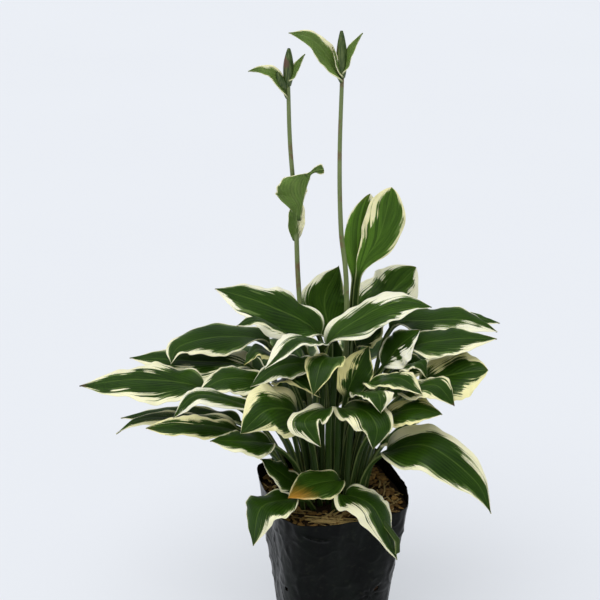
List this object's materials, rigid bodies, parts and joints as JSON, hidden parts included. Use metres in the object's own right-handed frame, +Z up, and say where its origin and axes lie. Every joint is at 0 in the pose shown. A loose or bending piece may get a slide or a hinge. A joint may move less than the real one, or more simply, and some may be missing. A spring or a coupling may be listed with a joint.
{
  "type": "potted hosta plant",
  "caption": "Clump of pointed, cream-edged hosta leaves on long stalks with tall budding flower stalks, standing in a soft black nursery bag of potting mix.",
  "frame": {"origin": "middle of the bag's flat underside", "axes": "+Z up along the plant, -Y towards its front, +X to the right seen from the front"},
  "size_m": [0.4742, 0.3506, 0.701],
  "materials": {
    "bag_film": "thin crinkled black polyethylene film, satin gloss",
    "potting_mix": "dark crumbly peat, coir and bark, matt",
    "mulch": "dry bark crumbs and straw, matt",
    "leaf": "satin dark green leaf with an uneven cream margin and sunken veins",
    "flower_stalk": "smooth grey-green stem with green, cream-edged bracts and purple-green buds"
  },
  "bodies": {
    "root": {"bag": "bag_film", "potting_mix": "potting_mix", "mulch": "mulch", "left_leaf_1": "leaf", "left_leaf_2": "leaf", "left_leaf_3": "leaf", "left_leaf_4": "leaf", "left_leaf_5": "leaf", "left_leaf_6": "leaf", "left_leaf_7": "leaf", "left_leaf_8": "leaf", "left_leaf_9": "leaf", "left_leaf_10": "leaf", "left_leaf_11": "leaf", "left_leaf_12": "leaf", "top_leaf_1": "leaf", "top_leaf_2": "leaf", "top_leaf_3": "leaf", "top_leaf_4": "leaf", "top_leaf_5": "leaf", "top_leaf_6": "leaf", "top_leaf_7": "leaf", "top_leaf_8": "leaf", "top_leaf_9": "leaf", "right_leaf_1": "leaf", "right_leaf_2": "leaf", "right_leaf_3": "leaf", "right_leaf_4": "leaf", "right_leaf_5": "leaf", "right_leaf_6": "leaf", "right_leaf_7": "leaf", "right_leaf_8": "leaf", "right_leaf_9": "leaf", "right_leaf_10": "leaf", "right_leaf_11": "leaf", "right_leaf_12": "leaf", "right_leaf_13": "leaf", "right_leaf_14": "leaf", "front_leaf_1": "leaf", "front_leaf_2": "leaf", "front_leaf_3": "leaf", "front_leaf_4": "leaf", "bag_leaf_1": "leaf", "bag_leaf_2": "leaf", "bag_leaf_3": "leaf", "inner_leaf_1": "leaf", "inner_leaf_2": "leaf", "inner_leaf_3": "leaf", "inner_leaf_4": "leaf", "inner_leaf_5": "leaf", "back_leaf_1": "leaf", "back_leaf_2": "leaf", "back_leaf_3": "leaf", "back_leaf_4": "leaf", "back_leaf_5": "leaf", "back_leaf_6": "leaf", "back_leaf_7": "leaf", "back_leaf_8": "leaf", "flower_stalk_1": "flower_stalk", "flower_stalk_2": "flower_stalk"}
  },
  "joints": []
}
